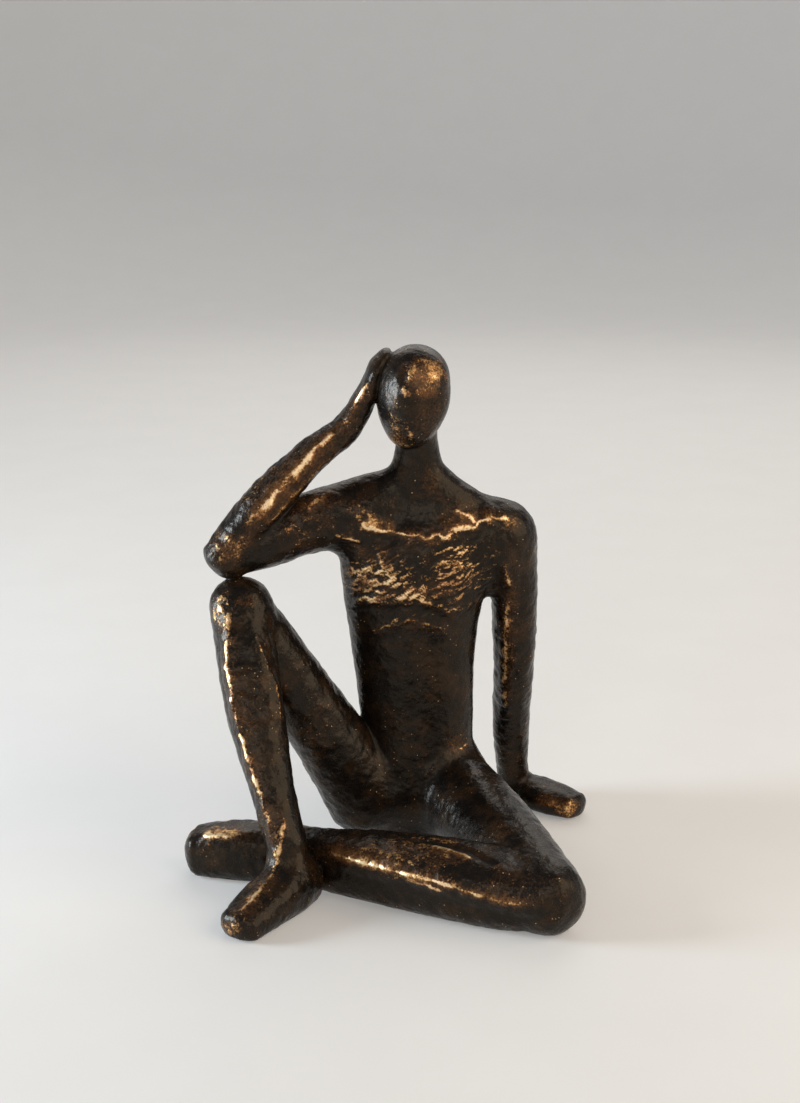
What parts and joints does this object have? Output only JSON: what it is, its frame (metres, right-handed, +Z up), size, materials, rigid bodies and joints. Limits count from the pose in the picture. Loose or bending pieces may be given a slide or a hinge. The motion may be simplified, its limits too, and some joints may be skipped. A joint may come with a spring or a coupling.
{
  "type": "seated thinker statue",
  "caption": "Seated faceless thinking figure in dark bronze finish, elbow on a raised knee and palm to the head; a table ornament that stands on felt pads.",
  "frame": {"origin": "on the table, under the middle of the figure's overall box", "axes": "+Z up; the figure faces -Y, and its own right side is towards -X"},
  "size_m": [0.2104, 0.1727, 0.2602],
  "materials": {
    "bronze_patina": "cast resin, near-black brown lacquer with gold-bronze rubbed over the raised marks, satin gloss",
    "pin_steel": "plain cut steel rod",
    "felt": "black pressed felt"
  },
  "bodies": {
    "root": {"torso": "bronze_patina", "head": "bronze_patina", "right_upper_arm": "bronze_patina", "right_forearm": "bronze_patina", "left_arm": "bronze_patina", "right_thigh": "bronze_patina", "right_lower_leg": "bronze_patina", "left_thigh": "bronze_patina", "left_lower_leg": "bronze_patina", "neck_pin": "pin_steel", "right_shoulder_pin": "pin_steel", "left_shoulder_pin": "pin_steel", "right_elbow_pin": "pin_steel", "right_hip_pin": "pin_steel", "left_hip_pin": "pin_steel", "right_knee_pin": "pin_steel", "left_knee_pin": "pin_steel", "elbow_rest_pin": "pin_steel", "palm_rest_pin": "pin_steel", "seat_pad": "felt", "right_foot_pad": "felt", "left_knee_pad": "felt", "left_foot_pad": "felt", "left_hand_pad": "felt"}
  },
  "joints": []
}
